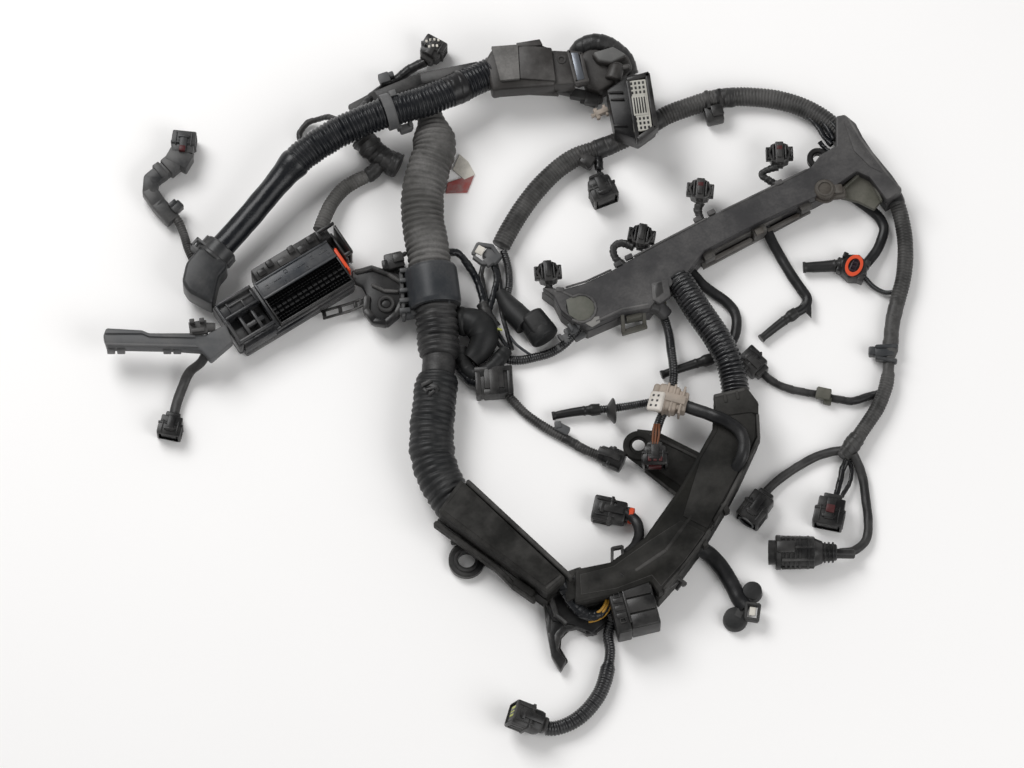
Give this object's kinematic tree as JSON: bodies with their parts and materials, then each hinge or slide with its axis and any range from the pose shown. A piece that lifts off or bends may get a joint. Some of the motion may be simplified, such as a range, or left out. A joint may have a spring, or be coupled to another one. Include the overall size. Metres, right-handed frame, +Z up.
{
  "type": "wiring harness",
  "caption": "Engine wiring harness with corrugated trunks, cable ducts, a connector rail, a control unit connector and loose leads with plugs.",
  "frame": {"origin": "on the flat underside of the connector rail, near the middle of its length, at floor level", "axes": "+Z up from the surface that the harness lies on, +X along its longer side, from the control unit connector towards the rail's far end"},
  "size_m": [0.8121, 0.7426, 0.0685],
  "materials": {
    "glossy_conduit": "glossy blue-black",
    "dusty_conduit": "dusty, khaki-grey",
    "black_plastic": "satin black",
    "rail_plastic": "matt dark grey with dust",
    "duct_plastic": "matt grey-brown with dust",
    "cloth_tape": "wound black tape",
    "rubber": "matt black",
    "clip_plastic": "greenish grey",
    "terminal_plastic": "grey",
    "fuse_face": "off-white",
    "beige_plastic": "grey-tan",
    "orange_seal": "orange-red seal",
    "bare_steel": "bare metal"
  },
  "bodies": {
    "root": {"left_sleeve": "glossy_conduit", "left_conduit": "glossy_conduit", "conduit_clamp": "clip_plastic", "centre_conduit": "dusty_conduit", "centre_wrap": "cloth_tape", "rail_drop": "black_plastic", "loop_conduit": "black_plastic", "side_conduit": "black_plastic", "rail_base": "rail_plastic", "rail_cover": "rail_plastic", "rail_wires": "cloth_tape", "trough_base": "black_plastic", "trough_cover": "black_plastic", "left_base": "duct_plastic", "left_cover": "black_plastic", "upper_duct": "duct_plastic", "duct_hub": "duct_plastic", "steel_plate": "bare_steel", "fuse_box": "black_plastic", "fuse_terminals": "fuse_face", "ecu_housing": "black_plastic", "ecu_terminal_block": "terminal_plastic", "ecu_pin_block": "black_plastic", "ecu_seal": "orange_seal", "ecu_lever": "black_plastic", "elbow_cover": "black_plastic", "arm_channel": "duct_plastic", "trunk_clamp": "black_plastic", "clamp_bracket": "black_plastic", "relay_connector": "black_plastic", "oval_boot": "rubber", "centre_bundle": "cloth_tape", "rail_tail": "black_plastic", "junction_bundle": "cloth_tape", "ecu_branch": "black_plastic", "injector_connector_1": "black_plastic", "injector_connector_2": "black_plastic", "injector_connector_3": "black_plastic", "injector_connector_4": "black_plastic", "hanging_connector": "black_plastic", "beige_connector": "beige_plastic", "sensor_lead": "black_plastic", "arm_branch": "black_plastic", "top_lead": "black_plastic", "glow_lead_1": "black_plastic", "glow_lead_2": "black_plastic", "glow_lead_3": "black_plastic", "glow_lead_4": "black_plastic", "orange_connector": "black_plastic", "side_lead": "black_plastic", "breakout_lead_a": "black_plastic", "breakout_lead_b": "black_plastic", "breakout_lead_c": "black_plastic", "duct_lead": "black_plastic", "box_connector": "black_plastic", "bottom_lead": "black_plastic", "corner_lead": "black_plastic", "cover_lead": "black_plastic", "drop_lead": "black_plastic"}
  },
  "joints": []
}
